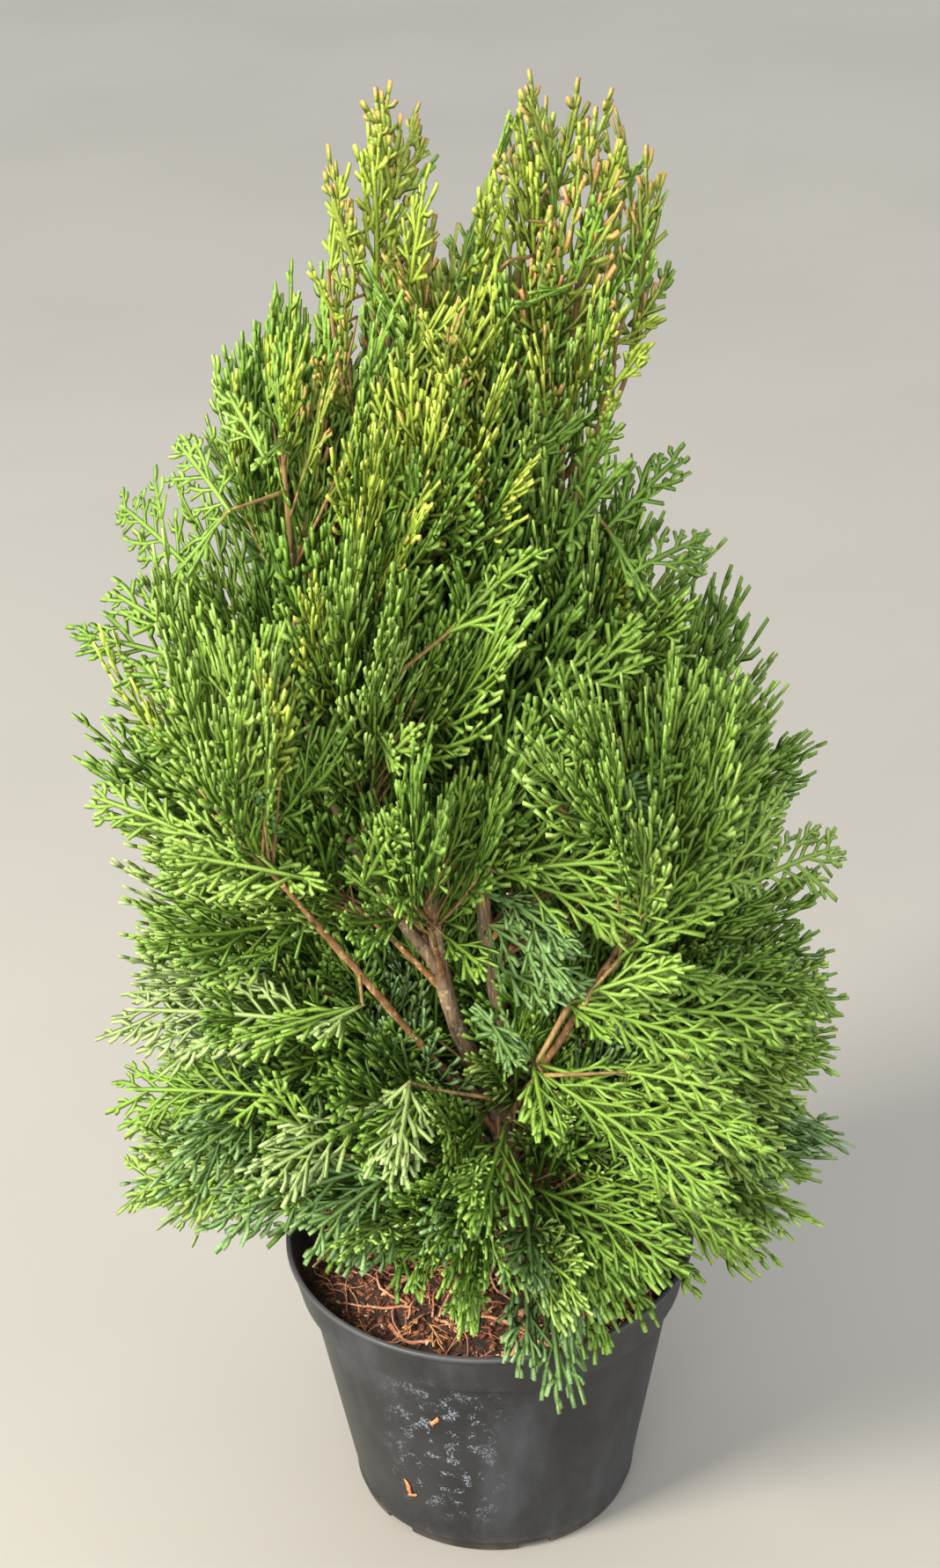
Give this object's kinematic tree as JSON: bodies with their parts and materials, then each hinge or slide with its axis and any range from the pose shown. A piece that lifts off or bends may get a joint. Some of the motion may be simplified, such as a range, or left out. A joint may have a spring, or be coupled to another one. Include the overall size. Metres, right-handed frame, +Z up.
{
  "type": "potted thuja",
  "caption": "Young potted thuja with two upright tops, flat green scale-leaf sprays tipped yellow and orange, in a round black plastic nursery pot of bark soil.",
  "frame": {"origin": "centre of the pot's flat underside, where it stands on the ground", "axes": "+Z up along the trunk, -Y towards the front that shows the open stems, +X to the right seen from the front"},
  "size_m": [0.4298, 0.4001, 0.9323],
  "materials": {
    "pot_plastic": "dark grey-black moulded plastic with dust specks and scuffs",
    "soil": "moist bark and peat mix with fibrous roots",
    "bark": "pinkish grey-brown fibrous bark",
    "young_bark": "smooth red-brown bark of young boughs",
    "foliage": "flat sprays of green scale leaves, blue-green below, yellow-green with orange tips above"
  },
  "bodies": {
    "root": {"pot": "pot_plastic", "soil": "soil", "trunk": "bark", "leader_left": "bark", "leader_right": "bark", "leader_far_left": "bark", "leader_inner": "bark", "bough_skirt_1": "young_bark", "bough_skirt_2": "young_bark", "bough_skirt_3": "young_bark", "bough_skirt_4": "young_bark", "bough_skirt_5": "young_bark", "bough_skirt_6": "young_bark", "bough_middle_1": "young_bark", "bough_middle_2": "young_bark", "bough_middle_3": "young_bark", "bough_middle_4": "young_bark", "bough_middle_5": "young_bark", "bough_middle_6": "young_bark", "bough_lower_right": "young_bark", "bough_lower_back_right": "young_bark", "bough_lower_back_left": "young_bark", "bough_lower_left": "young_bark", "bough_lower_front_left": "young_bark", "bough_lower_front_right": "young_bark", "foliage_skirt_1": "foliage", "foliage_skirt_2": "foliage", "foliage_skirt_3": "foliage", "foliage_skirt_4": "foliage", "foliage_skirt_5": "foliage", "foliage_skirt_6": "foliage", "foliage_middle_1": "foliage", "foliage_middle_2": "foliage", "foliage_middle_3": "foliage", "foliage_middle_4": "foliage", "foliage_middle_5": "foliage", "foliage_middle_6": "foliage", "foliage_upper_1": "foliage", "foliage_upper_2": "foliage", "foliage_upper_3": "foliage", "foliage_upper_4": "foliage", "foliage_upper_5": "foliage", "foliage_shoulder_1": "foliage", "foliage_shoulder_2": "foliage", "foliage_shoulder_3": "foliage", "foliage_lower_right": "foliage", "foliage_lower_back_right": "foliage", "foliage_lower_back_left": "foliage", "foliage_lower_left": "foliage", "foliage_lower_front_left": "foliage", "foliage_lower_front_right": "foliage", "foliage_top_left": "foliage", "foliage_top_right": "foliage", "foliage_top_inner": "foliage", "foliage_top_far_left": "foliage", "foliage_crest_left": "foliage", "foliage_crest_right": "foliage", "foliage_crest_front": "foliage"}
  },
  "joints": []
}
